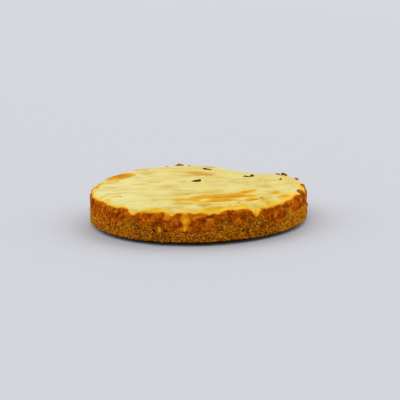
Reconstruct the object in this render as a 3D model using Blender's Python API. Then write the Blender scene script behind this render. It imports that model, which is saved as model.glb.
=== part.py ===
"""A baked round cheesecake, whole and out of its tin: a crumb crust and the cheese filling it carries.
Each body is a turned blank that is then shaped by hand-placed swells, tongues and dips."""

import math
import random

import bmesh
import bpy
from mathutils import Vector, noise

mm = 0.001

# Driving dimensions. The cake was baked in a 26 cm ring tin.
DIAMETER = 260 * mm
TOP_HEIGHT = 41 * mm
SHOULDER_DROP = 4.6 * mm
SHOULDER_WIDTH = 18 * mm

# The crust: a floor with a low wall that was pressed up the tin by hand, so its crest is uneven.
FLOOR_HEIGHT = 9 * mm
CREST_HEIGHT = 20 * mm
CREST_FOOT = 11 * mm
CREST_THICK = 3 * mm
CREST_BEVEL = 0.6 * mm
WALL_THICK = 7 * mm

# Inside the crust, the floor rises a little where it meets the wall.
COVE_WIDTH = 12 * mm
COVE_HEIGHT = 1.5 * mm

# The tin's base had a raised border, which left a step under the edge of the cake.
FOOT_RADIUS = 117 * mm
STEP_HEIGHT = 3.8 * mm
STEP_DRAFT = 0.8 * mm
LIP_RADIUS = 128.4 * mm
LIP_ROUND = 4.4 * mm

# The gap that the two bodies keep where they touch, wider over the crest, which slopes.
GAP = 0.3 * mm
CREST_GAP = 1.15 * GAP

# Columns round the cake, rows up each wall, and the radii where every second column ends.
COLUMNS = 192
ROWS = 5
COARSER_WITHIN = [(112 * mm, 2), (63 * mm, 4), (30 * mm, 8)]
SKIN_RINGS = [0, 12, 25, 38, 48, 58, 68, 76, 84, 92, 100, 108, 115.5, 121.5, 126, 128.7]
NEAR = 0.1 * mm
SEED = 26

RADIUS = DIAMETER / 2
RIM_HEIGHT = TOP_HEIGHT - SHOULDER_DROP
WALL_FOOT = STEP_HEIGHT + LIP_ROUND

# How far the faces lie inside the tin's wall, and their lumps: how far they stand, size, draw.
CRUST_INSET = 0.3 * mm
CRUST_LUMPS = [(0.9 * mm, 4.2 * mm, 7), (0.7 * mm, 9 * mm, 8)]
CREST_LUMPS = [(1.2 * mm, 6 * mm, 5)]
LIP_LUMPS = [(0.5 * mm, 5 * mm, 9)]
FILLING_INSET = 1.0 * mm
FILLING_LUMPS = [(0.9 * mm, 11 * mm, 3), (0.5 * mm, 5 * mm, 4)]
SKIN_LUMPS = [(0.35 * mm, 22 * mm, 2)]

# Tongues and dips of the crust's crest that face the front: azimuth, half width in degrees, rise.
FRONT_CREST = [
    (-164, 8.0, 1.5 * mm),
    (-145, 5.0, -3.0 * mm),
    (-137, 3.0, -3.0 * mm),
    (-126, 4.5, 7.5 * mm),
    (-96, 9.0, -5.5 * mm),
    (-87, 3.5, -3.5 * mm),
    (-78, 3.8, 8.5 * mm),
    (-61, 5.5, 10.5 * mm),
    (-46, 4.5, -6.5 * mm),
    (-37, 4.5, 7.0 * mm),
    (-18, 8.0, 2.5 * mm),
]

# Broad swells and dips of the baked top: x, y, reach, rise.
SWELLS = [
    (-50 * mm, 90 * mm, 90 * mm, 5.2 * mm),
    (-110 * mm, 40 * mm, 40 * mm, 1.8 * mm),
    (66 * mm, 98 * mm, 38 * mm, -5.0 * mm),
    (108 * mm, 20 * mm, 45 * mm, 1.5 * mm),
    (-82 * mm, 99 * mm, 8 * mm, 2.0 * mm),
]

# Long low wrinkles of the skin near the front: x, y, half length, half width, turn in degrees, rise.
# Each bends by this share of its half length towards its ends.
WRINKLES = [
    (18 * mm, -101 * mm, 52 * mm, 6 * mm, 4, 0.9 * mm),
    (-8 * mm, -80 * mm, 36 * mm, 6 * mm, -4, 0.8 * mm),
    (56 * mm, -70 * mm, 32 * mm, 7 * mm, 14, 1.0 * mm),
    (26 * mm, -58 * mm, 44 * mm, 9 * mm, 6, -0.7 * mm),
    (88 * mm, -58 * mm, 18 * mm, 8 * mm, 40, 0.8 * mm),
    (-58 * mm, -20 * mm, 40 * mm, 16 * mm, 10, 0.5 * mm),
]
WRINKLE_BEND = 0.06

# Places where filling ran down between two browned bulges: azimuth, half width at the rim,
# half width at the foot, foot height, depth. The furrow dies out this far in from the rim.
RUNS = [
    (-60.5, 9 * mm, 1.6 * mm, 27 * mm, 2.2 * mm),
    (-95.5, 5 * mm, 3.0 * mm, 17 * mm, 1.0 * mm),
    (74.0, 8 * mm, 2.0 * mm, 26 * mm, 1.8 * mm),
    (168.0, 6 * mm, 2.0 * mm, 24 * mm, 1.4 * mm),
]
RUN_REACH = 6 * mm

# Curled lips of torn blisters in the skin: x, y, length, breadth, height, turn in degrees, bend.
TORN_LIPS = [
    (-2 * mm, 20 * mm, 12 * mm, 2.6 * mm, 4.4 * mm, 8, -3.4 * mm),
    (12 * mm, 94 * mm, 14 * mm, 2.6 * mm, 4.0 * mm, -35, -2.4 * mm),
    (63 * mm, 53 * mm, 14 * mm, 2.6 * mm, 4.0 * mm, 8, -5.0 * mm),
    (100 * mm, 19 * mm, 8 * mm, 2.4 * mm, 3.4 * mm, 70, -1.2 * mm),
]
LIP_ROUGHNESS = 0.3

# Browned crags of filling left standing on the rim: azimuth, length along the rim, height.
RIM_CRAGS = [
    (101, 14 * mm, 6.4 * mm),
    (95, 5 * mm, 3.4 * mm),
    (109, 4 * mm, 2.6 * mm),
    (36, 6 * mm, 4.4 * mm),
    (30, 10 * mm, 6.4 * mm),
    (15, 5 * mm, 3.6 * mm),
    (-3, 6 * mm, 3.8 * mm),
    (-18, 12 * mm, 4.0 * mm),
]
CRAG_INSET = 5 * mm
CRAG_BREADTH = 0.7
CRAG_ROUGHNESS = 0.6
FINER_ABOVE = 8 * mm

# The largest pit in the crust's face: azimuth, height, reach, depth.
PIT = (-106.5, 17.5 * mm, 2.6 * mm, 2.4 * mm)


def turn_between(a, b):
    """Signed turn from azimuth b to azimuth a, in degrees."""
    return (a - b + 180) % 360 - 180


def bell(distance, reach):
    return math.exp(-((distance / reach) ** 2))


def clamp(value):
    return max(0.0, min(1.0, value))


def mix(a, b, share):
    return a + (b - a) * share


def lumps(p, kinds):
    """How far the lumps of these kinds stand at a point."""
    total = 0.0
    for rise, size, draw in kinds:
        total += rise * noise.noise(p / size + Vector((draw, 3.1 * draw, 0)))
    return total


def on_circle(azimuth, radius, z):
    a = math.radians(azimuth)
    return Vector((radius * math.cos(a), radius * math.sin(a), z))


def back_crest():
    """Tongues and dips for the side of the crust that faces away, drawn at random."""
    draw = random.Random(SEED)
    crest = []
    azimuth = 4
    while azimuth < 176:
        crest.append((azimuth, draw.uniform(3.5, 6), draw.uniform(-5, 8) * mm))
        azimuth += draw.uniform(9, 15)
    return crest


CREST = FRONT_CREST + back_crest()


def crest_height(azimuth):
    height = CREST_HEIGHT
    for centre, half_width, rise in CREST:
        height += rise * bell(turn_between(azimuth, centre), half_width)
    return height + lumps(on_circle(azimuth, RADIUS, 0), CREST_LUMPS)


def crest_gap(azimuth):
    """Upward gap over the crest that leaves GAP square to its slope."""
    slope = (crest_height(azimuth + 0.5) - crest_height(azimuth - 0.5)) / (math.radians(1) * RADIUS)
    return CREST_GAP * math.hypot(1, slope)


def top_height(x, y):
    """Height of the baked skin, which rounds off at the rim."""
    height = TOP_HEIGHT
    for cx, cy, reach, rise in SWELLS:
        height += rise * bell(math.hypot(x - cx, y - cy), reach)
    for cx, cy, half_length, half_width, turn, rise in WRINKLES:
        c = math.cos(math.radians(turn))
        s = math.sin(math.radians(turn))
        along = (x - cx) * c + (y - cy) * s
        across = (y - cy) * c - (x - cx) * s
        bend = across + WRINKLE_BEND * along * along / half_length
        height += rise * bell(along, half_length) * bell(bend, half_width)
    height += lumps(Vector((x, y, 0)), SKIN_LUMPS)
    edge = clamp((math.hypot(x, y) - (RADIUS - SHOULDER_WIDTH)) / SHOULDER_WIDTH)
    return height - SHOULDER_DROP * edge**2.2


def rim_height(azimuth):
    p = on_circle(azimuth, RADIUS, 0)
    return top_height(p.x, p.y)


def run_depth(azimuth, z):
    """How far the face is drawn in where pale filling ran down it."""
    depth = 0.0
    for centre, rim_half, foot_half, foot_height, deep in RUNS:
        share = clamp((z - foot_height) / (RIM_HEIGHT - foot_height))
        half = mix(foot_half, rim_half, share**1.6)
        along = math.radians(turn_between(azimuth, centre)) * RADIUS
        depth += deep * bell(along, half) * min(1.0, 4 * share)
    return depth


def crust_face(azimuth, z):
    """Radius of the crust's face: packed crumbs, with pits between them."""
    pit_azimuth, pit_height, reach, depth = PIT
    away = math.hypot(math.radians(turn_between(azimuth, pit_azimuth)) * RADIUS, z - pit_height)
    relief = lumps(on_circle(azimuth, RADIUS, z), CRUST_LUMPS)
    return RADIUS - CRUST_INSET + relief - depth * bell(away, reach)


def filling_face(azimuth, z):
    """Radius of the filling's face: browned skin with soft blisters."""
    relief = lumps(on_circle(azimuth, RADIUS, z), FILLING_LUMPS)
    return RADIUS - FILLING_INSET + relief - run_depth(azimuth, z)


def seat_profile(gap):
    """The seat of the filling in the crust, from the crest's inner edge to the middle.
    Both bodies use it; the filling's is a gap higher and further in."""
    foot_radius = RADIUS - WALL_THICK - gap
    return [
        (RADIUS - CREST_THICK - gap, CREST_HEIGHT - CREST_BEVEL + gap),
        (foot_radius, FLOOR_HEIGHT + COVE_HEIGHT + gap),
        (foot_radius - COVE_WIDTH, FLOOR_HEIGHT + gap),
        (foot_radius / 2, FLOOR_HEIGHT + gap),
        (0, FLOOR_HEIGHT + gap),
    ]


def turned_blank(profile):
    """The profile of (radius, height) points turned about Z, as triangles that coarsen inwards."""
    bm = bmesh.new()
    verts = [bm.verts.new((r, 0, z)) for r, z in profile]
    edges = [bm.edges.new(pair) for pair in zip(verts, verts[1:])]
    bmesh.ops.spin(
        bm, geom=verts + edges, axis=(0, 0, 1), angle=math.tau, steps=COLUMNS, use_merge=True
    )
    bmesh.ops.remove_doubles(bm, verts=bm.verts, dist=0.01 * mm)
    for limit, keep in COARSER_WITHIN:
        thin_out(bm, limit, keep)
    bmesh.ops.triangulate(bm, faces=bm.faces, quad_method="FIXED", ngon_method="BEAUTY")
    return bm


def thin_out(bm, limit, keep):
    """Inside this radius only every so many spokes stay."""
    spokes = []
    for edge in bm.edges:
        inner, outer = sorted(edge.verts, key=lambda v: v.co.xy.length)
        if outer.co.xy.length > limit or outer.co.xy.length - inner.co.xy.length < 1 * mm:
            continue
        column = round(math.degrees(math.atan2(outer.co.y, outer.co.x)) * COLUMNS / 360)
        if column % keep:
            spokes.append(edge)
    bmesh.ops.dissolve_edges(bm, edges=spokes, use_verts=True)


def finish(bm, name, material):
    """The finished object, with its faces pointing out and its round sides smooth."""
    bmesh.ops.recalc_face_normals(bm, faces=bm.faces)
    mesh = bpy.data.meshes.new(name)
    bm.to_mesh(mesh)
    bm.free()
    mesh.materials.append(material)
    mesh.shade_smooth()
    mesh.set_sharp_from_angle(angle=math.radians(50))
    obj = bpy.data.objects.new(name, mesh)
    bpy.context.scene.collection.objects.link(obj)
    return obj


def make_crust(material):
    profile = [
        (0, 0),
        (FOOT_RADIUS, 0),
        (FOOT_RADIUS + STEP_DRAFT, STEP_HEIGHT),
        (LIP_RADIUS, STEP_HEIGHT),
        (mix(LIP_RADIUS, RADIUS, 0.6), mix(STEP_HEIGHT, WALL_FOOT, 0.3)),
    ]
    profile += [(RADIUS, mix(WALL_FOOT, CREST_HEIGHT, i / ROWS)) for i in range(ROWS + 1)]
    profile += seat_profile(0)
    bm = turned_blank(profile)
    for v in bm.verts:
        azimuth = math.degrees(math.atan2(v.co.y, v.co.x))
        radius = v.co.xy.length
        z = v.co.z
        share = clamp((z - CREST_FOOT) / (CREST_HEIGHT - CREST_FOOT))
        z += share * (crest_height(azimuth) - CREST_HEIGHT)
        if radius > RADIUS - NEAR:
            radius = crust_face(azimuth, z)
        elif radius > LIP_RADIUS - NEAR and z < WALL_FOOT:
            crumb = lumps(v.co, LIP_LUMPS)
            radius += crumb
            z += crumb
        v.co = on_circle(azimuth, radius, z)
    return finish(bm, "crumb_crust", material)


def make_filling(material):
    profile = [(r * mm, TOP_HEIGHT) for r in SKIN_RINGS]
    profile += [(RADIUS, mix(RIM_HEIGHT, CREST_HEIGHT, i / ROWS)) for i in range(ROWS + 1)]
    profile += seat_profile(GAP)
    bm = turned_blank(profile)
    for v in bm.verts:
        azimuth = math.degrees(math.atan2(v.co.y, v.co.x))
        radius = v.co.xy.length
        z = v.co.z
        crest = crest_height(azimuth)
        if z > TOP_HEIGHT - NEAR:
            radius -= run_depth(azimuth, RIM_HEIGHT) * bell(RADIUS - radius, RUN_REACH)
            p = on_circle(azimuth, radius, 0)
            z = top_height(p.x, p.y)
        elif radius > RADIUS - NEAR:
            share = (z - CREST_HEIGHT) / (RIM_HEIGHT - CREST_HEIGHT)
            z = mix(crest + crest_gap(azimuth), rim_height(azimuth), share)
            radius = filling_face(azimuth, z)
        elif z > CREST_FOOT:
            z += crest - CREST_HEIGHT + crest_gap(azimuth) - GAP
        v.co = on_circle(azimuth, radius, z)
    return finish(bm, "cheese_filling", material)


def lump(x, y, length, breadth, height, turn, bend, roughness):
    """A rough closed lump sunk halfway into the skin, bent to a crescent if asked."""
    bm = bmesh.new()
    bmesh.ops.create_icosphere(bm, subdivisions=2 if length > FINER_ABOVE else 1, radius=1)
    c = math.cos(math.radians(turn))
    s = math.sin(math.radians(turn))
    seat = top_height(x, y)
    for v in bm.verts:
        p = v.co * (1 + roughness * noise.noise(v.co * 1.9 + Vector((turn, x / mm, 0))))
        along = p.x * length / 2
        across = p.y * breadth / 2 + bend * (1 - p.x * p.x)
        v.co = (x + along * c - across * s, y + along * s + across * c, seat + p.z * height / 2)
    return bm


def rim_crag(azimuth, length, height):
    place = on_circle(azimuth, RADIUS - CRAG_INSET, 0)
    breadth = CRAG_BREADTH * length
    return lump(place.x, place.y, length, breadth, height, azimuth + 90, 0, CRAG_ROUGHNESS)


def fuse(target, shapes, material):
    """Joins small closed shapes to the target with one Boolean union, and leaves one solid."""
    group = bpy.data.collections.new("fused")
    bpy.context.scene.collection.children.link(group)
    for i, bm in enumerate(shapes):
        piece = finish(bm, f"fused_{i}", material)
        bpy.context.scene.collection.objects.unlink(piece)
        group.objects.link(piece)
    union = target.modifiers.new("fuse", "BOOLEAN")
    union.operation = "UNION"
    union.operand_type = "COLLECTION"
    union.collection = group
    union.solver = "EXACT"
    bpy.context.view_layer.update()
    evaluated = target.evaluated_get(bpy.context.evaluated_depsgraph_get())
    joined = bpy.data.meshes.new_from_object(evaluated)
    target.modifiers.clear()
    target.data = joined
    for piece in list(group.objects):
        bpy.data.objects.remove(piece)
    bpy.data.collections.remove(group)


def food_material(name, colour, roughness):
    material = bpy.data.materials.new(name)
    material.use_nodes = True
    shader = material.node_tree.nodes["Principled BSDF"]
    shader.inputs["Base Color"].default_value = (*colour, 1)
    shader.inputs["Roughness"].default_value = roughness
    shader.inputs["Metallic"].default_value = 0
    return material


def main():
    for obj in list(bpy.data.objects):
        bpy.data.objects.remove(obj)
    crumb = food_material("baked_crumb", (0.36, 0.17, 0.035), 0.85)
    cheese = food_material("baked_cheese", (0.82, 0.63, 0.24), 0.5)
    make_crust(crumb)
    filling = make_filling(cheese)
    shapes = [lump(*lip, LIP_ROUGHNESS) for lip in TORN_LIPS]
    shapes += [rim_crag(*crag) for crag in RIM_CRAGS]
    fuse(filling, shapes, cheese)


main()
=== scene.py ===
import math
import random

import bpy
import numpy as np
from mathutils import Matrix, Vector, noise
from mathutils.bvhtree import BVHTree


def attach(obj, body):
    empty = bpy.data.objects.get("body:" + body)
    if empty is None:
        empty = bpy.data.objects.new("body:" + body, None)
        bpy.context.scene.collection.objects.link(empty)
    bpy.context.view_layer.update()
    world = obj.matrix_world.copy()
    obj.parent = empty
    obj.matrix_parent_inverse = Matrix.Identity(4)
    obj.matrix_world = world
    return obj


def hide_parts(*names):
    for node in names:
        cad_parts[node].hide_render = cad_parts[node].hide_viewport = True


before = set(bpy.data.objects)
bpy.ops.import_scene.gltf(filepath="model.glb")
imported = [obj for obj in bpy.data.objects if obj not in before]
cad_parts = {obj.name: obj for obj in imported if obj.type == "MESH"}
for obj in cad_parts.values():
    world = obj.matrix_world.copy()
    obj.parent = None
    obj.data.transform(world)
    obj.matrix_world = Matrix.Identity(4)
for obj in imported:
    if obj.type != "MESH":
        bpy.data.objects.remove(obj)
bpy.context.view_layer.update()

mm = 0.001

# How brightly each kind of face stands in the studio's light, against a white card in full light
lit = {"top": 1.55, "rim": 1.3, "side": 0.78, "crumb": 0.69}


def seen(red, green, blue, place=None):
    # the colour of a surface that looks like this in a picture, 0 to 255, in the light of its place
    linear = []
    for part in (red, green, blue):
        share = part / 255
        value = share / 12.92 if share <= 0.04045 else ((share + 0.055) / 1.055) ** 2.4
        linear.append(value / lit.get(place, 1))
    return (*linear, 1)


# Camera, where the photograph was taken from
view = {
    "distance": 1300 * mm,
    "elevation": 13.28,
    "roll": -1.45,
    "lens": 97.0,
    "sensor": 36,
    "shift": (0.0027, 0.0484),
    "farthest": 100,  # how far it sees, in metres
}


def addCamera():
    tilt = math.radians(view["elevation"])
    place = Vector((0, -math.cos(tilt), math.sin(tilt))) * view["distance"]
    turn = Matrix.Rotation(math.pi / 2 - tilt, 4, "X") @ Matrix.Rotation(math.radians(view["roll"]), 4, "Z")
    bpy.ops.object.camera_add(location=place, rotation=turn.to_euler())
    camera = bpy.context.object
    camera.data.lens = view["lens"]
    camera.data.sensor_width = view["sensor"]
    camera.data.shift_x, camera.data.shift_y = view["shift"]
    camera.data.clip_end = view["farthest"]
    bpy.context.scene.camera = camera


# Shader maths: a Wire is one output socket, and a Recipe is one material
class Wire:
    def __init__(self, recipe, socket):
        self.recipe = recipe
        self.socket = socket

    def maths(self, operation, first, second=None):
        return self.recipe.node("ShaderNodeMath", {"operation": operation}, {0: first, 1: second})

    def __add__(self, other):
        return self.maths("ADD", self, other)

    def __radd__(self, other):
        return self.maths("ADD", other, self)

    def __sub__(self, other):
        return self.maths("SUBTRACT", self, other)

    def __rsub__(self, other):
        return self.maths("SUBTRACT", other, self)

    def __mul__(self, other):
        return self.maths("MULTIPLY", self, other)

    def __rmul__(self, other):
        return self.maths("MULTIPLY", other, self)

    def larger(self, other):
        return self.maths("MAXIMUM", self, other)


patchEdge = (1.25, 0.15)  # where a patch fades out and where it is full, as shares of its half sizes
allHeights = 1e6  # a patch has no end up and down
film = {"rough": 0.32, "density": 1.4}  # the thin film of fat on the baked skin


class Recipe:
    def __init__(self, name):
        self.material = bpy.data.materials.new(name)
        self.material.use_nodes = True
        self.tree = self.material.node_tree
        self.shader = self.tree.nodes["Principled BSDF"]
        place = self.node("ShaderNodeTexCoord", output="Object")
        self.place = self.vector("SCALE", place, scale=1 / mm)  # millimetres from here on

    def node(self, kind, settings=None, inputs=None, output=0):
        made = self.tree.nodes.new(kind)
        for key, value in (settings or {}).items():
            setattr(made, key, value)
        for key, value in (inputs or {}).items():
            if isinstance(value, Wire):
                self.tree.links.new(value.socket, made.inputs[key])
            elif value is not None:
                made.inputs[key].default_value = value
        return Wire(self, made.outputs[output])

    def vector(self, operation, first, second=None, scale=None, output=0):
        return self.node(
            "ShaderNodeVectorMath", {"operation": operation}, {0: first, 1: second, 3: scale}, output
        )

    def attribute(self, name):
        return self.node("ShaderNodeAttribute", {"attribute_name": name}, output="Fac")

    def axis(self, letter):  # one coordinate of the place, in mm
        return self.node("ShaderNodeSeparateXYZ", {}, {0: self.place}, letter)

    def mix(self, share, first, second):  # two colours
        return self.node("ShaderNodeMix", {"data_type": "RGBA"}, {0: share, 6: first, 7: second}, 2)

    def step(self, value, low, high, top=1.0):  # 0 at low, top at high, smooth between
        settings = {"interpolation_type": "SMOOTHSTEP"}
        inputs = {"Value": value, "From Min": low, "From Max": high, "To Max": top}
        return self.node("ShaderNodeMapRange", settings, inputs)

    def lumps(self, size, detail=3.0, rough=0.5, where=None, output="Fac"):  # noise, size in mm
        inputs = {"Vector": where or self.place, "Scale": 1 / size, "Detail": detail, "Roughness": rough}
        return self.node("ShaderNodeTexNoise", {}, inputs, output)

    def cells(self, size, output="Distance"):
        inputs = {"Vector": self.place, "Scale": 1 / size}
        return self.node("ShaderNodeTexVoronoi", {}, inputs, output)

    def stretched(self, x, y, z):  # the place with its axes squeezed, for streaks
        return self.vector("MULTIPLY", self.place, (x, y, z))

    def wandering(self, size, reach):  # the place pushed about by noise
        push = self.vector("SUBTRACT", self.lumps(size, 3.0, output="Color"), (0.5, 0.5, 0.5))
        return self.vector("ADD", self.place, self.vector("SCALE", push, scale=2 * reach))

    def patch(self, where, x, y, alongX, alongY, turn=0):  # 1 in the middle of an ellipse, 0 outside
        settings = {"vector_type": "TEXTURE"}
        inputs = {
            "Vector": where,
            "Location": (x, y, 0),
            "Rotation": (0, 0, math.radians(turn)),
            "Scale": (alongX, alongY, allHeights),
        }
        centred = self.node("ShaderNodeMapping", settings, inputs)
        return self.step(self.vector("LENGTH", centred, output="Value"), *patchEdge)

    def patches(self, where, spots):  # the strongest of several patches: x, y, half sizes, turn, strength
        total = None
        for x, y, alongX, alongY, turn, strength in spots:
            one = self.patch(where, x, y, alongX, alongY, turn) * strength
            total = one if total is None else total.larger(one)
        return total

    def finish(self, colour, rough, height, reach, gloss=0.1, coat=None):  # reach: depth of the bump in mm
        self.tree.links.new(colour.socket, self.shader.inputs["Base Color"])
        self.tree.links.new(rough.socket, self.shader.inputs["Roughness"])
        self.shader.inputs["Specular IOR Level"].default_value = gloss
        if coat is not None:
            self.tree.links.new(coat.socket, self.shader.inputs["Coat Weight"])
            self.shader.inputs["Coat Roughness"].default_value = film["rough"]
            self.shader.inputs["Coat IOR"].default_value = film["density"]
        bump = self.node("ShaderNodeBump", {}, {"Height": height, "Distance": reach * mm, "Strength": 1.0})
        self.tree.links.new(bump.socket, self.shader.inputs["Normal"])
        return self.material


# Form of the cake, the same for both bodies: places in mm, azimuths in degrees
form = {
    "radius": 130,
    "topHeight": 41,
    "shoulderDrop": 4.6,
    "shoulderWidth": 18,
    "shoulderCurve": 2.2,
    "crestHeight": 20,
    "crestFoot": 11,  # from here up the crust's wall follows its crest
    "seed": 26,
    "crestStep": 0.25,  # degrees between two heights of the crest
    "crestLumps": [(1.2, 6, 5)],  # layers of noise: height, lump size, salt
    "topLumps": [(0.35, 22, 2)],
    "wrinkleBend": 0.06,
    "backCrest": {"span": (4, 176), "halfWidth": (3.5, 6), "rise": (-5, 8), "spacing": (9, 15)},
    "frontCrest": [  # azimuth, half width, rise
        (-164, 8.0, 1.5), (-145, 5.0, -3.0), (-137, 3.0, -3.0), (-126, 4.5, 7.5),
        (-96, 9.0, -5.5), (-87, 3.5, -3.5), (-78, 3.8, 8.5), (-61, 5.5, 10.5),
        (-46, 4.5, -6.5), (-37, 4.5, 7.0), (-18, 8.0, 2.5),
    ],
    "swells": [  # x, y, reach, rise
        (-50, 90, 90, 5.2), (-110, 40, 40, 1.8), (66, 98, 38, -5.0), (108, 20, 45, 1.5), (-82, 99, 8, 2.0),
    ],
    "wrinkles": [  # x, y, half length, half width, turn, rise
        (18, -101, 52, 6, 4, 0.9), (-8, -80, 36, 6, -4, 0.8), (56, -70, 32, 7, 14, 1.0),
        (26, -58, 44, 9, 6, -0.7), (88, -58, 18, 8, 40, 0.8), (-58, -20, 40, 16, 10, 0.5),
    ],
}


def bell(distance, reach):
    return np.exp(-((distance / reach) ** 2))


def ramp(value, low, high):  # 0 at low, 1 at high, straight between
    return np.clip((value - low) / (high - low), 0, 1)


def smooth(value, low, high):  # the same with rounded ends
    share = ramp(value, low, high)
    return share * share * (3 - 2 * share)


def turnBetween(a, b):
    return (a - b + 180) % 360 - 180


def grain(points, size, salt):  # smooth noise from -1 to 1 at each point, with lumps of this size in mm
    shift = Vector((salt, 3.1 * salt, 0))
    scaled = points / size
    return np.array([noise.noise(Vector(p) + shift) for p in scaled.tolist()])


def layered(points, layers):  # several layers of noise: height, lump size, salt
    return sum(height * grain(points, size, salt) for height, size, salt in layers)


def onCircle(azimuths, radii, heights):
    a = np.radians(azimuths)
    return np.stack([radii * np.cos(a), radii * np.sin(a), heights + 0 * a], axis=1)


def onRim(azimuths, heights):
    return onCircle(azimuths, form["radius"], heights)


def alongRim(azimuths, centre):  # how far round the rim from an azimuth, in mm
    return np.radians(turnBetween(azimuths, centre)) * form["radius"]


def turned(x, y, turn):  # a step split into its parts along and across a direction
    c = math.cos(math.radians(turn))
    s = math.sin(math.radians(turn))
    return x * c + y * s, y * c - x * s


def humpLine(base, humps, azimuths):  # a line round the cake with humps: azimuth, half width, rise
    heights = base + 0 * azimuths
    for centre, halfWidth, rise in humps:
        heights = heights + rise * bell(turnBetween(azimuths, centre), halfWidth)
    return heights


def withBackHumps(humps, back, seed):  # the humps seen in front, and drawn ones round the back
    draw = random.Random(seed)
    humps = list(humps)
    azimuth, last = back["span"]
    while azimuth < last:
        humps.append((azimuth, draw.uniform(*back["halfWidth"]), draw.uniform(*back["rise"])))
        azimuth += draw.uniform(*back["spacing"])
    return humps


def crestLine():  # the height of the crust's crest all the way round
    humps = withBackHumps(form["frontCrest"], form["backCrest"], form["seed"])
    azimuths = np.arange(-180, 180, form["crestStep"])
    heights = form["crestHeight"] + layered(onRim(azimuths, 0), form["crestLumps"])
    return azimuths, humpLine(heights, humps, azimuths)


crestAzimuths, crestHeights = crestLine()


def crestAt(azimuths):
    return np.interp(azimuths, crestAzimuths, crestHeights, period=360)


def swellAt(x, y):  # how far the baked top stands over or under its plain turned form
    rise = layered(np.stack([x, y, 0 * x], axis=1), form["topLumps"])
    for cx, cy, reach, height in form["swells"]:
        rise += height * bell(np.hypot(x - cx, y - cy), reach)
    for cx, cy, halfLength, halfWidth, turn, height in form["wrinkles"]:
        along, across = turned(x - cx, y - cy, turn)
        bend = across + form["wrinkleBend"] * along * along / halfLength
        rise += height * bell(along, halfLength) * bell(bend, halfWidth)
    return rise


def plainTop(r):  # height of the plain turned top at this radius
    edge = ramp(r, form["radius"] - form["shoulderWidth"], form["radius"])
    return form["topHeight"] - form["shoulderDrop"] * edge ** form["shoulderCurve"]


def topAt(x, y):
    return float(plainTop(math.hypot(x, y)) + swellAt(np.array([x]), np.array([y]))[0])


# Mesh helpers
def deselectAll():
    bpy.ops.object.select_all(action="DESELECT")


def readPoints(piece):  # the mesh's points in mm
    flat = np.empty(len(piece.data.vertices) * 3)
    piece.data.vertices.foreach_get("co", flat)
    return flat.reshape(-1, 3) / mm


def writePoints(piece, points):
    piece.data.vertices.foreach_set("co", (points * mm).ravel())
    piece.data.update()


def writeAttribute(piece, name, values):
    attribute = piece.data.attributes.new(name, "FLOAT", "POINT")
    attribute.data.foreach_set("value", np.asarray(values, dtype=np.float32))


def applyModifier(piece, kind, **settings):
    modifier = piece.modifiers.new(kind.lower(), kind)
    for key, value in settings.items():
        setattr(modifier, key, value)
    bpy.context.view_layer.objects.active = piece
    bpy.ops.object.modifier_apply(modifier=modifier.name)


def displace(piece, name, kind, size, strength, group="", layers=2):  # size and strength in mm
    texture = bpy.data.textures.new(name, kind)
    texture.noise_scale = size * mm
    if kind == "CLOUDS":
        texture.noise_depth = layers
    applyModifier(
        piece, "DISPLACE", texture=texture, texture_coords="LOCAL", strength=strength * mm,
        mid_level=0.5, direction="NORMAL", vertex_group=group,
    )


leastWeight = 0.01  # points with less are left out of a vertex group


def weighVertices(piece, name, weights):  # a vertex group of the points with a weight
    group = piece.vertex_groups.new(name=name)
    for i in np.nonzero(weights > leastWeight)[0].tolist():
        group.add([i], float(weights[i]), "REPLACE")


def joinPieces(pieces, name):  # several objects into one, with its place in its mesh
    deselectAll()
    for piece in pieces:
        piece.select_set(True)
    bpy.context.view_layer.objects.active = pieces[0]
    bpy.ops.object.join()
    joined = bpy.context.object
    bpy.ops.object.transform_apply(location=True, rotation=True, scale=True)
    joined.name = joined.data.name = name
    return joined


def turnedBlank(name, rings, columns, gridSpan=0):
    # a circle, filled if asked, then pulled out ring by ring along (radius, height) and closed
    deselectAll()
    first = rings[0]
    bpy.ops.mesh.primitive_circle_add(vertices=columns, radius=first[0] * mm, location=(0, 0, first[1] * mm))
    piece = bpy.context.object
    piece.name = piece.data.name = name
    bpy.ops.object.transform_apply(location=True, rotation=False, scale=False)
    bpy.ops.object.mode_set(mode="EDIT")
    bpy.ops.mesh.select_mode(type="EDGE")
    bpy.ops.mesh.select_all(action="SELECT")
    if gridSpan:
        bpy.ops.mesh.fill_grid(span=gridSpan)
    else:
        bpy.ops.mesh.edge_face_add()
    bpy.ops.mesh.select_all(action="SELECT")
    bpy.ops.mesh.region_to_loop()
    for (oldRadius, oldHeight), (newRadius, newHeight) in zip(rings, rings[1:]):
        grow = newRadius / oldRadius
        lift = (newHeight - oldHeight) * mm
        bpy.ops.mesh.extrude_edges_move(TRANSFORM_OT_translate={"value": (0, 0, lift)})
        bpy.ops.transform.resize(value=(grow, grow, 1), center_override=(0, 0, 0))
    bpy.ops.mesh.edge_face_add()
    bpy.ops.mesh.select_all(action="SELECT")
    bpy.ops.mesh.normals_make_consistent(inside=False)
    bpy.ops.object.mode_set(mode="OBJECT")
    return piece


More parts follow.
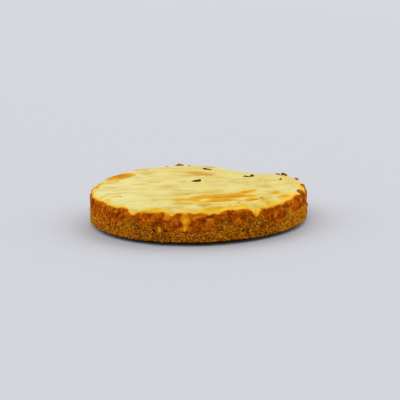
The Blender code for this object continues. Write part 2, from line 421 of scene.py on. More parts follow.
# Filling: the baked top, the shoulder and the browned side
filling = {
    "columns": 96,
    "plateau": 112,
    "shoulderRings": [118, 123.5, 127.8],
    "cornerRound": 1.8,
    "wallRows": 3,
    "inset": 0.6,  # how far the face lies within the crust's
    "nearRim": (112, 130),  # radii between which the inset and the runs set in
    "face": (126, 128),  # radii between which the side's relief sets in
    "ridge": 0.9,  # how high the pale ridges of the skin stand
    "footRings": [(127.6, 3.5), (120, 8)],  # radius, depth under the crest
    "subdivisions": 3,
    "browned": 0.8,  # how far the browned skin stands over the pale filling
    "brownedFrom": (122, 128),  # radii between which it starts to
    "brownedMean": 0.7,
    "edge": -1.0,  # where the browning ends, in mm down over the rim, and its humps
    "edgeHumps": [  # azimuth, half width, shift
        (-150, 7, -2.3), (-131, 3, -3.0), (-125, 3.2, 5.2), (-118, 4, 1.3), (-108, 3, -0.9),
        (-104, 2.3, 3.2), (-85.5, 2.2, 2.8), (-80, 3, 1.8), (-75, 4, -3.0), (-67.5, 3.5, -2.6),
        (-60.4, 2.7, 7.0), (-53, 4, 2.2), (-44, 3, 1.4), (-38, 2.5, -1.0), (-27, 6, -4.0),
    ],
    "backEdge": {"span": (-14, 192), "halfWidth": (2.5, 5), "rise": (-5, 4.5), "spacing": (8, 14)},
    "edgeLumps": [(1.6, 9, 14), (0.9, 3.4, 15)],  # layers of noise: height, lump size, salt
    "faceLumps": [(0.9, 11, 3), (0.5, 5, 4)],
    "faceMean": -0.4,
    "goldenSideways": [(2.4, 7, 31), (1.2, 3, 32)],
    "goldenUpward": [(2.0, 6, 33)],
    "wrinkles": {  # fine wrinkles; of each layer the share, lump size, salt, length and slant
        "middle": (26, -76),
        "reach": (62, 34),
        "rise": 2.0,
        "layers": [(0.62, 9.5, 12, 4.2, 0.12), (0.26, 4.5, 13, 3.0, -0.1)],
    },
    "textures": [  # name, kind, lump size, strength, where, layers
        ("sideBlisters", "CLOUDS", 5.5, 1.7, "side"), ("sideGrain", "VORONOI", 3.6, -0.9, "side"),
        ("skinWaves", "CLOUDS", 16, 0.8, "top", 3), ("skinPuckers", "CLOUDS", 5, 0.35, "top"),
    ],
    "runTop": 36.4,
    "runCurve": 1.6,  # how soon a run narrows
    "runFade": 4,  # how soon it starts over its foot
    "runs": [  # where pale filling came down: azimuth, half width at rim and foot, foot height, depth
        (-60.5, 9, 1.6, 27, 2.2), (-95.5, 5, 3.0, 17, 1.0), (74, 8, 2.0, 26, 1.8), (168, 6, 2.0, 24, 1.4),
    ],
    "pale": [  # where the side stays pale: azimuth, half width at rim and foot, foot height, strength
        (-60.0, 5.0, 1.6, 25.5, 1.0), (8, 6.0, 2.0, 28, 0.8), (74, 8.0, 2.4, 25, 1.0),
        (168, 7.0, 2.4, 25, 0.9), (121, 4, 2, 29, 0.7), (33, 4, 1.5, 31, 0.6),
    ],
    "golden": [  # lighter browning: azimuth, height, half width, half height, strength
        (-96.6, 28, 5.5, 8.0, 1.05), (-96.6, 21, 4.0, 5.0, 1.0), (-91.5, 32, 7.0, 3.5, 0.6),
        (-105.5, 33, 5.0, 4.5, 0.6), (-85, 29, 6.5, 4.0, 0.55), (-88.5, 21, 3, 4, 0.35),
        (-129, 25, 5, 3, 0.6), (-118, 28, 3, 2, 0.6), (-34, 34.5, 2.4, 2.0, 1.0), (-36, 28, 4, 3, 0.5),
        (-70, 27, 7, 2.2, 0.45), (-48, 25, 4, 3, 0.5), (-150, 30, 4, 4, 0.4), (-141, 33, 2, 3, 0.5),
        (-24, 32, 3, 4, 0.5), (-12, 28, 5, 5, 0.6), (20, 30, 6, 6, 0.7), (48, 27, 5, 6, 0.6),
        (92, 30, 5, 5, 0.8), (110, 25, 6, 5, 0.5), (140, 30, 6, 6, 0.7), (155, 26, 4, 5, 0.4),
        (-170, 30, 5, 5, 0.6),
    ],
}


def edgeLine(azimuths):  # how far down over the rim the browning ends, all the way round
    humps = withBackHumps(filling["edgeHumps"], filling["backEdge"], form["seed"] + 1)
    return humpLine(filling["edge"], humps, azimuths)


def runShare(azimuths, heights, halfTop, halfFoot, centre, foot):
    # 1 in the middle of a run that narrows from the rim down to its foot
    share = ramp(heights, foot, filling["runTop"])
    half = halfFoot + (halfTop - halfFoot) * share ** filling["runCurve"]
    return bell(alongRim(azimuths, centre), half) * np.minimum(1, filling["runFade"] * share)


def wrinkleField(x, y):  # long low wrinkles of the skin, about 0 to 1, and where they are
    wrinkles = filling["wrinkles"]
    where = bell(x - wrinkles["middle"][0], wrinkles["reach"][0])
    where = where * bell(y - wrinkles["middle"][1], wrinkles["reach"][1])
    field = 0.5
    for share, size, salt, length, slant in wrinkles["layers"]:
        field = field + share * grain(np.stack([x / length, y + slant * x, 0 * x], axis=1), size, salt)
    return field, where


def makeFilling():
    plateau = filling["plateau"]
    rings = [(plateau, float(plainTop(plateau)))]
    rings += [(r, float(plainTop(r))) for r in filling["shoulderRings"]]
    low = form["crestHeight"]
    rim = float(plainTop(form["radius"]))
    high = rim - filling["cornerRound"]
    rows = filling["wallRows"]
    rings += [(form["radius"], high + (low - high) * i / rows) for i in range(rows + 1)]
    rings += [(radius, low - depth) for radius, depth in filling["footRings"]]
    piece = turnedBlank("cheeseBody", rings, filling["columns"], filling["columns"] // 4)
    applyModifier(piece, "SUBSURF", levels=filling["subdivisions"], render_levels=filling["subdivisions"])

    points = readPoints(piece)
    x, y = points[:, 0], points[:, 1]
    r = np.hypot(x, y)
    azimuths = np.degrees(np.arctan2(y, x))
    z = points[:, 2]
    outside = ramp(r, *filling["face"])
    share = ramp(rim - z, 0, rim - low) * (z < rim)
    crest = crestAt(azimuths)
    z = z + swellAt(x, y) * (1 - share) + (crest - low) * share
    rimHere = rim + swellAt(*onRim(azimuths, 0)[:, :2].T)
    atFace = onRim(azimuths, z)
    overCorner = 0.8 * np.clip(form["radius"] - 1 - r, 0, None)  # the way in over the rounded corner
    pastEdge = rimHere - z - overCorner - edgeLine(azimuths)
    pastEdge += layered(atFace, filling["edgeLumps"])

    pale = np.zeros(len(z))
    for centre, halfTop, halfFoot, foot, strength in filling["pale"]:
        pale = np.maximum(pale, strength * runShare(azimuths, z, halfTop, halfFoot, centre, foot))
    golden = np.zeros(len(z))
    sideways = layered(atFace, filling["goldenSideways"])
    upward = layered(atFace, filling["goldenUpward"])
    for centre, height, halfWide, halfHigh, strength in filling["golden"]:
        beside = bell(alongRim(azimuths, centre) + sideways, halfWide)
        golden = np.maximum(golden, strength * beside * bell(z - height + upward, halfHigh))
    browned = smooth(pastEdge, -0.6, 1.4) * (1 - smooth(pale, 0.35, 0.7))

    face = layered(atFace, filling["faceLumps"]) + filling["faceMean"]
    r = r + outside * face * ramp(rim + 2 - points[:, 2], 0, 3)
    r = r + smooth(r, *filling["brownedFrom"]) * filling["browned"] * (browned - filling["brownedMean"])
    nearRim = smooth(r, *filling["nearRim"])
    for centre, halfTop, halfFoot, foot, depth in filling["runs"]:
        r -= nearRim * depth * runShare(azimuths, z, halfTop, halfFoot, centre, foot)
    r -= nearRim * filling["inset"]
    wrinkle, where = wrinkleField(x, y)
    onTop = smooth(z, rim + 1, rim + 3.5)
    z = z + onTop * where * filling["wrinkles"]["rise"] * (wrinkle - 0.5)
    for cx, cy, halfLength, halfWidth, turn, strength in skin["ridges"]:
        along, across = turned(x - cx, y - cy, turn)
        z = z + onTop * strength * filling["ridge"] * bell(along, halfLength) * bell(across, halfWidth)
    for cx, cy, length, *_ in tears["lips"]:
        away = np.hypot(x - cx, y - cy - tears["hollowBehind"])
        z -= onTop * tears["hollow"] * bell(away, 0.5 * length)
    writePoints(piece, onCircle(azimuths, r, z))
    writeAttribute(piece, "pastEdge", pastEdge)
    writeAttribute(piece, "underRim", rimHere - z)
    writeAttribute(piece, "toCrest", z - crest)
    writeAttribute(piece, "pale", pale)
    writeAttribute(piece, "golden", golden)
    writeAttribute(piece, "wrinkle", wrinkle)

    weighVertices(piece, "side", outside * smooth(pastEdge, -3, 1))
    weighVertices(piece, "top", onTop)
    for texture in filling["textures"]:
        displace(piece, *texture)
    bpy.ops.object.shade_smooth()
    return piece


# Torn blisters in the skin: each has a curled lip, set as in the solid
tears = {
    "lips": [  # x, y, length, turn, bend, how proud the left end, the middle and the right end stand
        (-2, 20, 12, 8, -3.4, 1.2, 2.2, 2.8), (12, 94, 14, -35, -2.4, 1.8, 1.5, 0.7),
        (63, 53, 14, 8, -5.0, 2.6, 0.8, 4.2), (100, 19, 8, 70, -1.2, 1.0, 1.7, 1.0),
    ],
    "grid": (26, 7),
    "ragged": 0.35,
    "shoulders": (-0.8, 0, 0.8),  # where the three heights hold, as shares of half the length
    "thickness": 0.9,
    "sunk": 0.9,
    "curl": 1.3,
    "hollow": 0.8,  # depth of the hollow that the blister left
    "hollowBehind": 3,
    "texture": ("lipPuckers", "CLOUDS", 1.6, 0.5),
}


def makeTears():
    made = []
    columns, rows = tears["grid"]
    for i, (x, y, length, turn, bend, left, middle, right) in enumerate(tears["lips"]):
        deselectAll()
        bpy.ops.mesh.primitive_grid_add(
            x_subdivisions=columns, y_subdivisions=rows, size=2, location=(0, 0, 0)
        )
        strip = bpy.context.object
        flat = readPoints(strip) * mm
        along = flat[:, 0]
        up = (flat[:, 1] + 1) / 2
        teeth = grain(np.stack([along * 3, 0 * up + i, 0 * up], axis=1), 1, 20 + i)
        proud = np.interp(along, tears["shoulders"], (left, middle, right)) * (1 + tears["ragged"] * teeth)
        proud = proud * (1 - np.abs(along) ** 5)  # down to nothing at both ends
        across = bend * (1 - along**2) + tears["curl"] * up**2 * (1 - 0.5 * along**2)
        sideways, upward = turned(along * length / 2, across, -turn)
        height = topAt(x, y) - tears["sunk"] * (1 - up) + proud * up
        writePoints(strip, np.stack([x + sideways, y + upward, height], axis=1))
        applyModifier(strip, "SOLIDIFY", thickness=tears["thickness"] * mm, offset=0)
        applyModifier(strip, "SUBSURF", levels=2, render_levels=2)
        made.append(strip)
    piece = joinPieces(made, "tornLips")
    displace(piece, *tears["texture"])
    bpy.ops.object.shade_smooth()
    return piece


# Crags of browned filling left standing on the rim, set as in the solid
crags = {
    "places": [  # azimuth, length along the rim, height
        (101, 14, 6.4), (95, 5, 3.4), (109, 4, 2.6), (36, 6, 4.4), (30, 10, 6.4), (15, 5, 3.6),
        (-3, 6, 3.8), (-18, 12, 4.0),
    ],
    "inset": 5,
    "proud": 0.48,  # the share of the height that shows over the skin
    "breadth": 0.7,
    "fewest": 6,  # lumps in a crag, and one more for each mm of length
    "spreadAlong": (0.22, 0.42),  # usual and greatest, as shares of the length
    "spreadAcross": (0.2, 0.4),
    "lumpSize": (0.13, 0.24),  # share of the length, which counts up to the longest
    "longest": 10,
    "slope": 2.1,  # how soon a crag gets lower towards its ends
    "deepest": -0.6,
    "stretch": (0.7, 1.25),
    "voxel": 0.42,
    "textures": [("cragLumps", "CLOUDS", 2.2, 1.0), ("cragCells", "VORONOI", 1.5, -0.7)],
    "seed": 11,
}


def drawSpread(draw, usual, greatest):
    return max(-greatest, min(greatest, draw.gauss(0, usual)))


def makeCrags():
    draw = random.Random(crags["seed"])
    lumps = []
    for azimuth, length, height in crags["places"]:
        for _ in range(crags["fewest"] + int(length)):
            along = drawSpread(draw, *crags["spreadAlong"]) * length
            across = drawSpread(draw, *crags["spreadAcross"]) * length * crags["breadth"]
            size = draw.uniform(*crags["lumpSize"]) * min(length, crags["longest"])
            around = azimuth + math.degrees(along / form["radius"])
            x, y, _ = onCircle(np.array([around]), form["radius"] - crags["inset"] + across, 0)[0]
            room = height * crags["proud"] * (1 - (crags["slope"] * along / length) ** 2)
            z = topAt(x, y) + max(crags["deepest"], min(room - size, draw.uniform(0, 0.9) * room))
            deselectAll()
            bpy.ops.mesh.primitive_ico_sphere_add(
                subdivisions=2, radius=size * mm, location=(x * mm, y * mm, z * mm),
                rotation=[draw.uniform(0, 3) for _ in range(3)],
                scale=[draw.uniform(*crags["stretch"]) for _ in range(3)],
            )
            lumps.append(bpy.context.object)
    piece = joinPieces(lumps, "rimCrags")
    applyModifier(piece, "REMESH", mode="VOXEL", voxel_size=crags["voxel"] * mm)
    before = readPoints(piece)
    for texture in crags["textures"]:
        displace(piece, *texture)
    after = readPoints(piece)
    normals = np.empty(len(after) * 3)
    piece.data.vertices.foreach_get("normal", normals)
    writeAttribute(piece, "relief", ((after - before) * normals.reshape(-1, 3)).sum(axis=1))
    bpy.ops.object.shade_smooth()
    return piece


# Crust: pressed crumbs, with the step and the flat foot under its edge
crust = {
    "columns": 120,
    "soleRadius": 113,  # the flat sole's last loop before the foot's edge
    "footRadius": 117,
    "stepHeight": 3.8,
    "stepFlare": 0.8,
    "lipRadius": 128.4,
    "lipRound": 4.4,
    "wallRows": 3,
    "topRings": [(128.8, 3), (122, -6)],  # radius, height over the crest
    "subdivisions": 3,
    "face": (124, 127),  # radii between which the crumb relief sets in
    "overRun": (4, 1.3),  # where filling ran over it, the crest stays down: breadth beside it, strength
    "faceLumps": [(0.6, 4.2, 7), (0.7, 9, 8)],  # layers of noise: height, lump size, salt
    "faceMean": -0.3,
    "textures": [  # name, kind, lump size, strength, where, layers
        ("packedCrumbs", "VORONOI", 2.6, -1.0, "face"), ("fineCrumbs", "VORONOI", 1.6, -0.6, "face"),
        ("crumbHollows", "CLOUDS", 5, 1.5, "face", 3),
    ],
    "crackHalfWidth": 0.75,
    "pits": [  # azimuth, height, reach, depth
        (-106.5, 17.5, 2.2, 2.8), (-112.6, 16.5, 1.8, 1.8), (-143, 14, 1.0, 1.0), (-66, 12, 1.2, 1.0),
        (-42, 15, 1.2, 1.0), (-35, 12, 1.4, 1.2), (-122, 11, 1.2, 1.0), (20, 13, 1.5, 1.4), (88, 12, 2, 1.6),
        (133, 14, 1.8, 1.4), (175, 12, 1.5, 1.3),
    ],
    "cracks": [  # azimuth, lowest, highest, depth
        (-141, 8, 16, 1.5), (-58.5, 7, 16, 1.4), (-130.5, 13, 19, 1.0), (-74, 9, 14, 0.8), (-47, 8, 12, 1.0),
        (30, 8, 17, 1.4), (66, 7, 13, 1.2), (107, 9, 17, 1.4), (149, 8, 14, 1.2),
    ],
    "lens": (-109.6, 18, 2.3, 3.6),  # smooth pale spot: azimuth, height, half width, half height
}


def crustRelief(azimuths, heights):  # the broad relief of the crust's face, in mm
    relief = layered(onRim(azimuths, heights), crust["faceLumps"]) + crust["faceMean"]
    for azimuth, height, reach, depth in crust["pits"]:
        relief -= depth * bell(np.hypot(alongRim(azimuths, azimuth), heights - height), reach)
    for azimuth, low, high, depth in crust["cracks"]:
        wavy = 0.9 * np.sin(heights * 1.1 + azimuth)
        within = smooth(heights, low - 1, low + 1) * smooth(heights, high + 2, high - 1)
        relief -= depth * bell(alongRim(azimuths, azimuth) + wavy, crust["crackHalfWidth"]) * within
    return relief


def makeCrust():
    step = crust["stepHeight"]
    wallFoot = step + crust["lipRound"]
    crest = form["crestHeight"]
    rows = crust["wallRows"]
    foot = crust["footRadius"]
    lip = crust["lipRadius"]
    rings = [(crust["soleRadius"], 0), (foot, 0), (foot + crust["stepFlare"], step)]
    rings += [(lip - 3, step + 0.1), (lip + 0.4, step + 0.6), (lip + 1.3, step + 0.4 * crust["lipRound"])]
    rings += [(form["radius"], wallFoot + (crest - wallFoot) * i / rows) for i in range(rows + 1)]
    rings += [(radius, crest + over) for radius, over in crust["topRings"]]
    piece = turnedBlank("crustBody", rings, crust["columns"])
    applyModifier(piece, "SUBSURF", levels=crust["subdivisions"], render_levels=crust["subdivisions"])

    points = readPoints(piece)
    r = np.hypot(points[:, 0], points[:, 1])
    azimuths = np.degrees(np.arctan2(points[:, 1], points[:, 0]))
    z = points[:, 2]
    beside, strength = crust["overRun"]
    for centre, _, halfFoot, _, _ in filling["runs"]:
        overRun = bell(alongRim(azimuths, centre), halfFoot + beside)
        z = z - overRun * strength * np.clip(z - crest + 1, 0, None)
    share = ramp(z, form["crestFoot"], crest)
    z = z + share * (crestAt(azimuths) - crest)
    outside = ramp(r, *crust["face"])
    writePoints(piece, onCircle(azimuths, r, z))
    before = readPoints(piece)
    broad = crustRelief(azimuths, z)
    writePoints(piece, onCircle(azimuths, r + outside * broad, z))

    weighVertices(piece, "face", outside)
    for texture in crust["textures"]:
        displace(piece, *texture)
    after = readPoints(piece)
    outward = np.stack([np.cos(np.radians(azimuths)), np.sin(np.radians(azimuths))], axis=1)
    relief = ((after - before)[:, :2] * outward).sum(axis=1)
    azimuth, height, halfWide, halfHigh = crust["lens"]
    writeAttribute(piece, "relief", relief)
    writeAttribute(piece, "lens", bell(alongRim(azimuths, azimuth), halfWide) * bell(z - height, halfHigh))
    bpy.ops.object.shade_smooth()
    print("crust relief from", round(relief.min(), 2), "to", round(relief.max(), 2), "mm")
    return piece


# Crumbs that stand out of the crust's face, and a few that stick to the browned side over it
grains = {
    "count": 7200,
    "smallest": 0.38,
    "largest": 1.15,
    "mostlySmall": 2.2,
    "lowest": 4.3,
    "overCrest": 3.5,
    "left": (0.35, 0.2),  # the share left out at the crest, and how it grows with each mm over it
    "bare": [crust["lens"], *crust["pits"][:2]],  # where none lie
    "bareReach": (1.5, 3),  # degrees aside, mm up and down
    "sunk": (0.15, 0.6),  # share of the size
    "rough": 0.2,
    "flat": ((0.6, 1), (0.5, 0.9)),
    "castFrom": 140,  # each is cast from this radius towards the axis
    "castReach": 20,
    "seed": 7,
}


def isNear(azimuth, height, spotAzimuth, spotHeight):
    aside, up = grains["bareReach"]
    return abs(turnBetween(azimuth, spotAzimuth)) < aside and abs(height - spotHeight) < up


def makeGrains(*bodies):
    deselectAll()
    bpy.ops.mesh.primitive_ico_sphere_add(subdivisions=1, radius=1, location=(0, 0, 0))
    model = bpy.context.object
    shape = readPoints(model) * mm
    faces = [tuple(face.vertices) for face in model.data.polygons]
    bpy.data.objects.remove(model)
    trees = []
    for body in bodies:
        corners = [tuple(face.vertices) for face in body.data.polygons]
        trees.append(BVHTree.FromPolygons(readPoints(body).tolist(), corners))

    draw = np.random.default_rng(grains["seed"])
    spread = grains["largest"] - grains["smallest"]
    leftOut, leftOutMore = grains["left"]
    broad, flat = grains["flat"]
    allPoints = []
    allFaces = []
    tones = []
    while len(allPoints) < grains["count"]:
        azimuth = draw.uniform(-180, 180)
        crest = float(crestAt(azimuth))
        height = draw.uniform(grains["lowest"], crest + grains["overCrest"])
        if height > crest - 0.5 and draw.uniform() < leftOut + leftOutMore * (height - crest):
            continue
        if any(isNear(azimuth, height, *spot[:2]) for spot in grains["bare"]):
            continue
        outer = Vector(onCircle(np.array([azimuth]), grains["castFrom"], height)[0])
        inward = Vector((-outer.x, -outer.y, 0)).normalized()
        hits = [tree.ray_cast(outer, inward, grains["castReach"]) for tree in trees]
        hits = [hit for hit in hits if hit[0] is not None]
        if not hits:
            continue
        place, normal, _, _ = min(hits, key=lambda hit: hit[3])
        size = grains["smallest"] + spread * draw.uniform() ** grains["mostlySmall"]
        spin = np.linalg.qr(draw.normal(size=(3, 3)))[0]
        rough = 1 + grains["rough"] * draw.normal(size=(len(shape), 1)).clip(-1.5, 1.5)
        squash = np.array([1, draw.uniform(*broad), draw.uniform(*flat)])
        lump = (shape * rough * squash) @ spin.T * size
        first = len(allPoints) * len(shape)
        allFaces += [tuple(v + first for v in face) for face in faces]
        allPoints.append(lump + np.array(place - normal * size * draw.uniform(*grains["sunk"])))
        tones += [draw.uniform()] * len(shape)
    mesh = bpy.data.meshes.new("crumbGrains")
    mesh.from_pydata((np.concatenate(allPoints) * mm).tolist(), [], allFaces)
    piece = bpy.data.objects.new("crumbGrains", mesh)
    bpy.context.scene.collection.objects.link(piece)
    writeAttribute(piece, "tone", tones)
    mesh.shade_smooth()
    return piece


# Materials
skin = {  # places on the baked top: x, y, half sizes, turn, strength
    "amber": [
        (34, -66, 36, 16, 12, 1.25), (6, -66, 26, 12, 0, 0.7), (51, -46, 24, 6, 40, 1.0),
        (63, -85, 17, 12, 0, 1.0), (24, -88, 26, 10, 0, 1.1), (-14, -76, 22, 14, 0, 0.6),
        (12, -82, 44, 26, 4, 0.5), (-98, 50, 17, 28, -18, 1.7), (14, -38, 34, 10, 0, 0.2),
        (88, -50, 8, 10, 0, 0.8), (68, -107, 12, 7, 0, 0.25), (74, -18, 16, 16, 0, 0.1),
        (85, -98, 12, 11, 0, 1.05), (30, -119, 40, 9, 8, 0.6), (-119, 10, 7, 22, 0, 0.7),
        (122, -36, 8, 28, 0, 1.0), (-74, 92, 14, 9, 30, 0.55), (108, 48, 10, 16, 0, 0.55),
        (102, -70, 12, 16, -40, 0.6), (-52, -114, 34, 6, -22, 0.3), (-100, -60, 8, 30, -30, 0.3),
        (-24, 124, 16, 6, 5, 0.7),
    ],
    "tan": [
        (4, 61, 21, 15, -20, 1.2), (-14, -98, 14, 12, 0, 0.9), (4, -106, 14, 8, 0, 0.8),
        (44, 20, 22, 24, 0, 0.4), (-22, -46, 18, 18, 0, 0.4), (76, -12, 16, 16, 0, 0.35),
        (-88, -10, 18, 26, 0, 0.25), (20, 118, 30, 8, -8, 0.8), (52, 84, 22, 12, -20, 0.3),
        (60, 104, 24, 6, -30, 0.6), (14, -42, 32, 10, 0, 0.45),
    ],
    "ridges": [
        (-8, -92, 13, 4.5, 0, 0.9), (8, -83, 14, 4.5, 45, 0.9), (24, -102, 34, 5.5, 2, 1.0),
        (54, -31, 24, 7, 20, 0.7), (63, -53, 15, 4.5, 42, 0.9), (63, -95, 16, 4.5, 52, 0.9),
        (-8, -56, 12, 5.5, 10, 0.8), (48, -82, 9, 6, 30, 0.6), (88, -70, 12, 4.5, 60, 0.6),
    ],
    "specks": [
        (60, 12, 1.7, 2.6, 20, 0.8), (75, 22, 1.8, 2.4, -30, 0.6), (-90, -50, 2.2, 2.9, 35, 0.85),
        (-50, -75, 2.8, 2.4, 10, 0.9), (-12, -44, 2.6, 2.2, -20, 0.7), (71, -76, 2.3, 3.4, -35, 1.1),
        (112, -20, 1.8, 2.6, 30, 0.7), (44, -103, 2.6, 1.9, 15, 0.7), (55, -118, 1.9, 2.2, 0, 0.8),
        (-43, -103, 2.2, 1.8, -10, 0.7), (24, -52, 1.6, 2.6, 40, 0.6), (-104, -38, 1.6, 2.2, 0, 0.5),
    ],
}


def bakedCheese():
    recipe = Recipe("bakedCheese")
    right = recipe.axis("X")
    pastEdge = recipe.attribute("pastEdge")
    steep = recipe.step(recipe.attribute("underRim"), -0.5, 3.0)
    toCrest = recipe.attribute("toCrest")
    pale = recipe.attribute("pale")
    golden = recipe.attribute("golden")
    wrinkle = recipe.attribute("wrinkle")
    broad = recipe.lumps(34, 2.0)
    mottle = recipe.lumps(10, 4.0, 0.6)
    fine = recipe.lumps(2.6, 4.0, 0.6)
    wander = recipe.wandering(21, 16)

    # top: pale cream, clouded with amber where the skin browned in the valleys of its wrinkles
    top = recipe.mix(recipe.step(broad, 0.38, 0.62), seen(236, 221, 137, "top"), seen(230, 206, 114, "top"))
    top = recipe.mix(recipe.step(right, -10, -90, 0.65), top, seen(243, 233, 156, "top"))
    drawn = recipe.lumps(11, 4.0, 0.6, recipe.stretched(0.45, 1, 1))
    top = recipe.mix(recipe.step(drawn, 0.47, 0.66, 0.7), top, seen(218, 180, 78, "top"))
    # painted highlight: small pale flecks over the cream, as glints on the moist skin
    top = recipe.mix(recipe.step(fine, 0.52, 0.75, 0.35), top, seen(243, 232, 160, "top"))
    cloud = recipe.lumps(12, 4.0, 0.6)
    amber = recipe.patches(wander, skin["amber"])
    amber = amber + amber * ((0.5 - wrinkle) * 0.9 + (cloud - 0.5) * 1.2)
    tan = recipe.patches(wander, skin["tan"]) + (cloud - 0.5) * 0.6
    top = recipe.mix(recipe.step(tan, 0.05, 0.95, 0.95), top, seen(216, 162, 60, "top"))
    top = recipe.mix(recipe.step(amber, 0.03, 0.4), top, seen(232, 186, 44, "top"))
    top = recipe.mix(recipe.step(amber, 0.28, 0.66), top, seen(228, 164, 8, "top"))
    top = recipe.mix(recipe.step(amber, 0.75, 1.4), top, seen(212, 130, 3, "top"))
    nearEdge = pastEdge + recipe.step(right, -70, 50, 2.5)  # the golden rim is broader at the right
    # painted light: on the steep face the gold is made lighter, against the weaker light that falls there
    goldTone = recipe.mix(steep, seen(244, 202, 60, "rim"), seen(234, 187, 46, "side"))
    top = recipe.mix(recipe.step(nearEdge + (mottle - 0.5) * 8, -9.5, 2.5), top, goldTone)
    # painted light: the rust too is made lighter on the steep face
    rustTone = recipe.mix(steep, seen(231, 164, 26, "rim"), seen(210, 141, 22, "side"))
    top = recipe.mix(recipe.step(pastEdge + (fine - 0.5) * 4, -3.5, 0.4, 0.8), top, rustTone)
    # the pale ridges are partly the skin's own paler crests and partly a painted highlight along them
    ridges = recipe.patches(recipe.wandering(10, 4), skin["ridges"])
    ridgeShare = recipe.step(ridges + (fine - 0.5) * 0.4, 0.1, 0.75, 0.9)
    top = recipe.mix(ridgeShare, top, seen(243, 217, 110, "top"))
    specks = recipe.patches(recipe.wandering(2.5, 1.6), skin["specks"])
    top = recipe.mix(specks, top, seen(118, 80, 2, "top"))

    # side: browned skin in soft blotches and short upright streaks, from gold to dark brown
    upright = recipe.stretched(1, 1, 0.85)
    streak = recipe.lumps(3.8, 4.0, 0.62, upright)
    blotch = recipe.lumps(8.5, 4.0, 0.6)
    side = recipe.mix(recipe.step(blotch, 0.36, 0.64), seen(112, 40, 1, "side"), seen(162, 80, 4, "side"))
    side = recipe.mix(recipe.step(streak, 0.5, 0.72, 0.85), side, seen(196, 112, 16, "side"))
    side = recipe.mix(recipe.step(streak, 0.48, 0.3, 0.8), side, seen(88, 28, 1, "side"))
    # painted highlight: small pale flecks on the lumps of the browned side
    side = recipe.mix(recipe.step(fine, 0.66, 0.8, 0.6), side, seen(216, 160, 70, "side"))
    warm = golden + (blotch - 0.5) * 0.8 + (streak - 0.5) * 0.7
    side = recipe.mix(recipe.step(warm, 0.2, 0.62), side, seen(190, 112, 8, "side"))
    side = recipe.mix(recipe.step(warm, 0.6, 1.05), side, seen(216, 154, 18, "side"))
    side = recipe.mix(recipe.step(toCrest, 2.2, -0.8, 0.55), side, seen(112, 54, 5, "side"))
    paleShare = recipe.step(pale + (blotch - 0.5) * 0.35, 0.25, 0.75)
    lower = recipe.step(pastEdge, -2, 6)
    paleTone = recipe.mix(lower, seen(236, 190, 48, "side"), seen(206, 146, 22, "side"))
    side = recipe.mix(paleShare, side, paleTone)
    browned = recipe.step(pastEdge + (streak - 0.5) * 5 + (fine - 0.5) * 3, -1.0, 1.3)
    colour = recipe.mix(browned, top, side)

    rough = recipe.step(mottle, 0.3, 0.7, 0.2) + 0.42 + browned * 0.25
    pores = recipe.step(recipe.cells(2.4), 0.3, 0.0, 0.25)
    height = mottle * 0.5 + fine * (0.25 + browned * 0.6) - pores - specks * 0.5
    coat = 0.025 - browned * 0.01
    return recipe.finish(colour, rough, height, 0.5, gloss=0.005, coat=coat)


def charredShadedLip():
    recipe = Recipe("charredShadedLip")
    fine = recipe.lumps(1.2, 4.0, 0.6)
    blotch = recipe.lumps(4, 3.0)
    # the lip's dark brown is partly a burnt edge and partly painted shade of the lip's inner face
    colour = recipe.mix(recipe.step(blotch, 0.35, 0.65), seen(56, 27, 1, "side"), seen(112, 60, 4, "side"))
    colour = recipe.mix(recipe.step(fine, 0.55, 0.75, 0.7), colour, seen(158, 96, 12, "side"))
    rough = recipe.step(fine, 0.3, 0.7, 0.25) + 0.5
    return recipe.finish(colour, rough, fine, 0.4, gloss=0.02)


def brownedCrag():
    recipe = Recipe("brownedCrag")
    relief = recipe.attribute("relief")
    fine = recipe.lumps(1.4, 4.0, 0.6)
    blotch = recipe.lumps(5, 3.0)
    colour = recipe.mix(recipe.step(blotch, 0.38, 0.62), seen(156, 82, 10, "rim"), seen(206, 126, 20, "rim"))
    charred = recipe.step(recipe.axis("X"), 30, 90, 0.8) * recipe.step(recipe.axis("Y"), -10, 30)
    colour = recipe.mix(charred, colour, seen(112, 60, 8, "rim"))
    # painted shade: the crags are darkened in their crevices, where the relief lies deepest
    colour = recipe.mix(recipe.step(relief, 0.1, -0.5, 0.8), colour, seen(92, 42, 3, "rim"))
    colour = recipe.mix(recipe.step(fine, 0.6, 0.8, 0.5), colour, seen(218, 158, 50, "rim"))
    rough = recipe.step(fine, 0.3, 0.7, 0.25) + 0.6
    return recipe.finish(colour, rough, fine, 0.4, gloss=0.02)


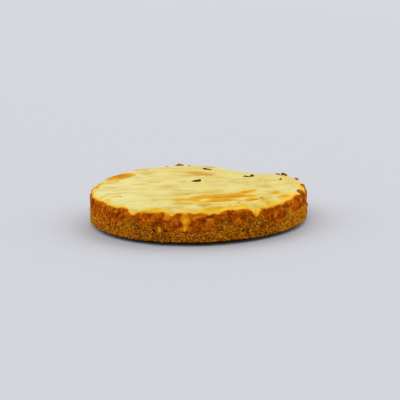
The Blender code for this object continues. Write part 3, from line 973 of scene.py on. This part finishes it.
def bakedCrumb(name, kind):
    recipe = Recipe(name)
    speck = recipe.cells(1.2, output="Color")
    bright = recipe.vector("DOT_PRODUCT", speck, (0.5, 0.5, 0), output="Value")
    broad = recipe.lumps(24, 3.0)
    fine = recipe.lumps(1.3, 3.0, 0.6)
    right = recipe.axis("X")
    # painted light: the crumb is painted lighter towards both sides, where more light falls on it
    aside = recipe.step(right * right, 4000, 11000)  # lighter towards both sides
    darker = recipe.mix(aside, seen(114, 56, 3, "crumb"), seen(136, 74, 4, "crumb"))
    lighter = recipe.mix(aside, seen(134, 74, 4, "crumb"), seen(158, 98, 6, "crumb"))
    colour = recipe.mix(recipe.step(broad, 0.4, 0.6), darker, lighter)
    colour = recipe.mix(recipe.step(bright, 0.55, 0.8, 0.75), colour, seen(186, 122, 20, "crumb"))
    colour = recipe.mix(recipe.step(bright, 0.42, 0.2, 0.65), colour, seen(78, 32, 1, "crumb"))
    if kind == "face":
        relief = recipe.attribute("relief")
        # painted shade: the crumb is darkened in its hollows, where its relief lies deepest
        colour = recipe.mix(recipe.step(relief, -0.3, -1.4, 0.9), colour, seen(40, 14, 1, "crumb"))
        lens = recipe.step(recipe.attribute("lens"), 0.35, 0.75)
        colour = recipe.mix(lens, colour, seen(184, 132, 20, "crumb"))
        # painted shade under the lip, where the step's gap lies in shadow, and in part the darker bake of
        # the crust's underside against the tin
        under = recipe.step(recipe.axis("Z"), 5.0, 3.6, 0.95)
        colour = recipe.mix(under, colour, seen(26, 8, 1, "crumb"))
    else:
        own = recipe.attribute("tone")
        colour = recipe.mix(recipe.step(own, 0.6, 0.95, 0.85), colour, seen(206, 142, 36, "crumb"))
        colour = recipe.mix(recipe.step(own, 0.42, 0.1, 0.8), colour, seen(82, 32, 2, "crumb"))
    rough = recipe.step(fine, 0.3, 0.7, 0.2) + 0.72
    return recipe.finish(colour, rough, fine, 0.4, gloss=0.01)


# Floor and light: a plain pale floor under an even pale room, with four broad soft lamps
studio = {
    "backdrop": seen(214, 216, 222),
    "floor": seen(211, 212, 216, "top"),
    "floorShade": seen(209, 211, 216, "top"),
    "floorSize": 80,
    "lamps": [  # name, direction it shines from, strength, width in degrees
        ("leftLamp", (-0.75, 0.15, 0.65), 1.1, 50),
        ("rightLamp", (0.75, 0.15, 0.65), 1.1, 50),
        ("backLamp", (0.1, 0.75, 0.65), 0.9, 40),
        ("frontLamp", (-0.1, -0.5, 0.85), 0.8, 50),
    ],
}


def addStudio():
    deselectAll()
    bpy.ops.mesh.primitive_plane_add(size=studio["floorSize"], location=(0, 0, 0))
    floor = bpy.context.object
    floor.name = "floor"
    recipe = Recipe("paleFloor")
    soft = recipe.lumps(900, 1.0)
    colour = recipe.mix(recipe.step(soft, 0.3, 0.7, 0.2), studio["floor"], studio["floorShade"])
    rough = recipe.step(soft, 0.0, 1.0, 0.05) + 0.8
    floor.data.materials.append(recipe.finish(colour, rough, soft, 0.01))
    world = bpy.data.worlds.new("softRoom")
    bpy.context.scene.world = world
    world.use_nodes = True
    world.node_tree.nodes["Background"].inputs["Color"].default_value = studio["backdrop"]
    for name, direction, strength, width in studio["lamps"]:
        turn = Vector(direction).to_track_quat("Z", "Y").to_euler()
        bpy.ops.object.light_add(type="SUN", location=Vector(direction), rotation=turn)
        lamp = bpy.context.object
        lamp.name = name
        lamp.data.energy = strength
        lamp.data.angle = math.radians(width)
    bpy.context.scene.view_settings.view_transform = "Standard"


def place(piece, material, slot, node=None):
    piece.data.materials.append(material)
    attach(piece, "root")
    if node:
        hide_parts(node)
    print(piece.name, "made:", len(piece.data.polygons), "faces")


addCamera()
print("camera set")
addStudio()
print("floor and lamps set")
cheese = makeFilling()
place(cheese, bakedCheese(), "baked_cheese", "cheese_filling")
lips = makeTears()
place(lips, charredShadedLip(), "baked_cheese")
rimLumps = makeCrags()
place(rimLumps, brownedCrag(), "baked_cheese")
base = makeCrust()
place(base, bakedCrumb("bakedCrumb", "face"), "baked_crumb", "crumb_crust")
loose = makeGrains(cheese, base)
place(loose, bakedCrumb("looseCrumb", "grains"), "baked_crumb")
